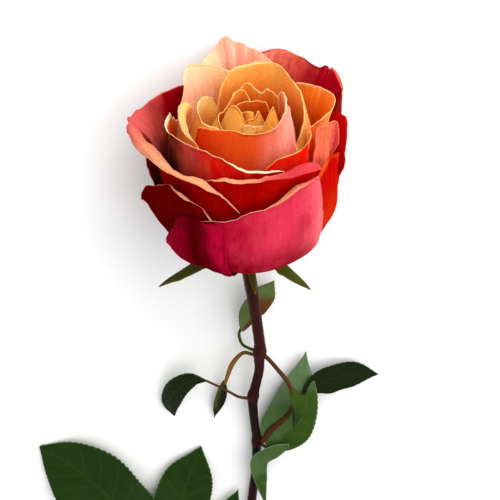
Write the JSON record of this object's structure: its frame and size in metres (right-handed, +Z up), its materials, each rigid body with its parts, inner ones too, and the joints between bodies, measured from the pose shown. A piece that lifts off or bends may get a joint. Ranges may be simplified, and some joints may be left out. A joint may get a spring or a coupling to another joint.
{
  "type": "cut hybrid tea rose",
  "caption": "Cut rose lying on its back petals: a half-open goblet bloom of rolled petals, a hip with sepals, and a thin knotted stem with serrated leaves.",
  "frame": {"origin": "middle of the flat spot of the back petal that the flower rests on", "axes": "+Z up from the surface, +Y from the stem towards the open bloom, +X to the bloom's right as seen from above with the bloom at the top"},
  "size_m": [0.1657, 0.33, 0.0721],
  "materials": {
    "petal_crimson": "velvety petal, crimson",
    "petal_coral": "velvety petal, coral",
    "petal_pale": "velvety petal, pale peach",
    "petal_orange": "velvety petal, orange",
    "hip_green": "smooth green, matte",
    "stem_bark": "smooth maroon bark, satin",
    "leaf_dark": "dark green, slightly waxy",
    "leaf_light": "grey-green underside, matte"
  },
  "bodies": {
    "root": {"front_a": "petal_crimson", "front_b": "petal_crimson", "right_n": "petal_crimson", "right_u": "petal_crimson", "left_c": "petal_crimson", "back_x": "petal_crimson", "back_y": "petal_crimson", "front_e": "petal_crimson", "right_g": "petal_crimson", "back_m": "petal_crimson", "left_d": "petal_coral", "left_c2": "petal_coral", "left_f": "petal_coral", "right_h": "petal_coral", "back_k": "petal_pale", "back_l": "petal_pale", "left_j": "petal_pale", "centre_o": "petal_orange", "front_i": "petal_orange", "right_p": "petal_orange", "inner_q": "petal_orange", "inner_r3": "petal_orange", "inner_r1": "petal_orange", "inner_t": "petal_orange", "inner_r5": "petal_orange", "inner_r2": "petal_orange", "inner_r4": "petal_orange", "heart_1": "petal_orange", "heart_2": "petal_orange", "hip": "hip_green", "stem": "stem_bark", "leaf_narrow": "leaf_dark", "leaf_arched": "leaf_dark", "leaf_folded": "leaf_dark", "leaf_low": "leaf_dark", "leaf_behind": "leaf_light", "leaf_broad": "leaf_light", "leaf_strip": "leaf_light"}
  },
  "joints": []
}
